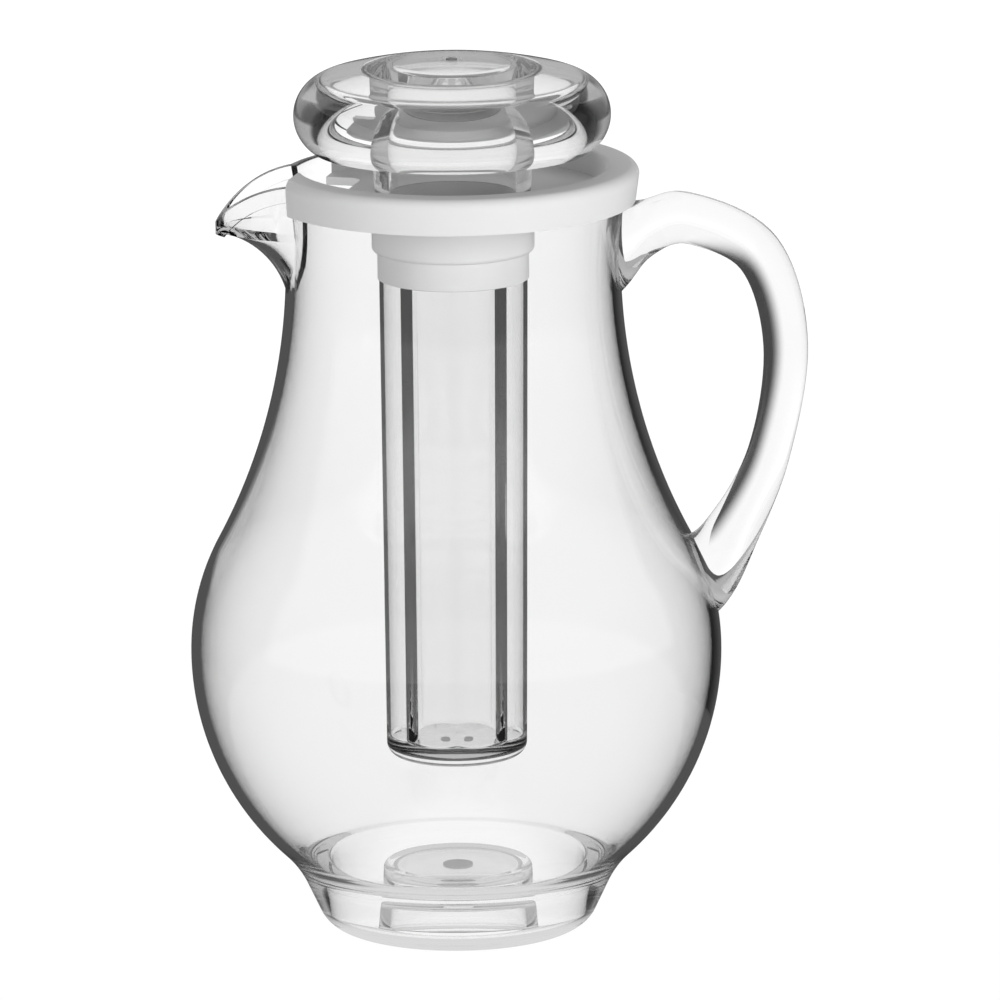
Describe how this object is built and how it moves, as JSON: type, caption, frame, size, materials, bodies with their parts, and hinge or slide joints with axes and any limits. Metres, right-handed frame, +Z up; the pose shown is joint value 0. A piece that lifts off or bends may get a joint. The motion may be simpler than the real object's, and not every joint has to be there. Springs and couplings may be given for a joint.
{
  "type": "pitcher with ice core",
  "caption": "Clear pear-shaped pitcher with a beak spout and loop handle, a white pour-through lid, an ice tube hung inside it and a lift-out stopper knob.",
  "frame": {"origin": "centre of the foot, on the surface that the jug stands on", "axes": "+Z up along the jug's axis, +X towards the handle, -X towards the spout"},
  "size_m": [0.19, 0.1632, 0.27],
  "materials": {
    "clear_plastic": "clear, polished",
    "white_plastic": "satin",
    "seal_rubber": "soft matte"
  },
  "bodies": {
    "jug": {"jug_body": "clear_plastic", "jug_handle": "clear_plastic"},
    "lid": {"lid_collar": "white_plastic", "tube_seal": "seal_rubber"},
    "core": {"ice_tube": "clear_plastic"},
    "stopper": {"stopper_knob": "clear_plastic", "stopper_seal": "seal_rubber"}
  },
  "joints": [
    {"name": "lid_lift", "type": "slide", "parent": "jug", "child": "lid", "axis": [0, 0, 1], "range_m": [0, 0.2]},
    {"name": "tube_release", "type": "slide", "parent": "lid", "child": "core", "axis": [0, 0, -1], "range_m": [0, 0.025]},
    {"name": "stopper_lift", "type": "slide", "parent": "lid", "child": "stopper", "axis": [0, 0, 1], "range_m": [0, 0.06]}
  ]
}
